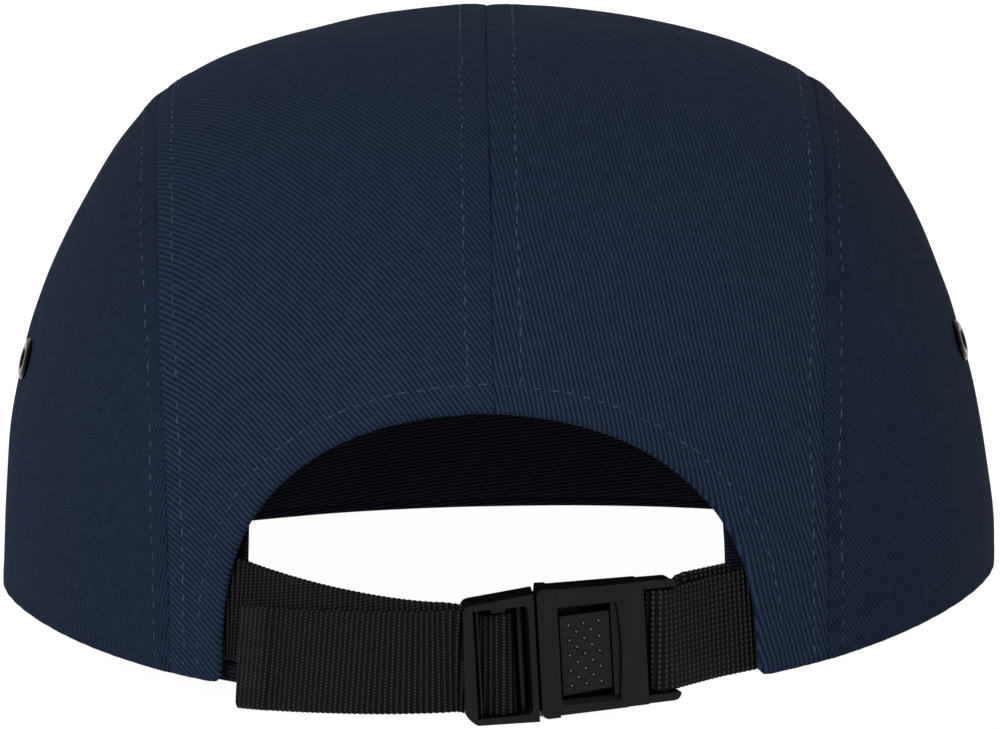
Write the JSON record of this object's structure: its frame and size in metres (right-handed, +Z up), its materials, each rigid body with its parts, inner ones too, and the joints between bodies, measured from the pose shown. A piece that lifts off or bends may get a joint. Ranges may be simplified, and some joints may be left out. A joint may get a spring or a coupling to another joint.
{
  "type": "five panel cap",
  "caption": "Soft navy cotton twill camper cap with a flat peak, an arched rear opening and a webbing strap with a plastic side-release buckle.",
  "frame": {"origin": "bottom centre of the cap's bounding box, on the surface that the cap rests on", "axes": "+Z up, +Y towards the peak, +X towards the wearer's right"},
  "size_m": [0.188, 0.2714, 0.1155],
  "materials": {
    "twill": "navy cotton twill, matt",
    "sweatband": "near black ribbed cotton band, matt",
    "webbing": "black woven webbing, matt",
    "buckle_plastic": "black moulded plastic, satin",
    "eyelet_metal": "dark nickel plate, semi-gloss"
  },
  "bodies": {
    "root": {"front_panel": "twill", "side_panel_left": "twill", "side_panel_right": "twill", "back_panel_left": "twill", "back_panel_right": "twill", "peak": "twill", "sweatband": "sweatband", "adjuster_strap": "webbing", "fixed_strap": "webbing", "buckle_slide": "buckle_plastic", "buckle_housing": "buckle_plastic", "eyelet_left": "eyelet_metal", "eyelet_right": "eyelet_metal"}
  },
  "joints": []
}
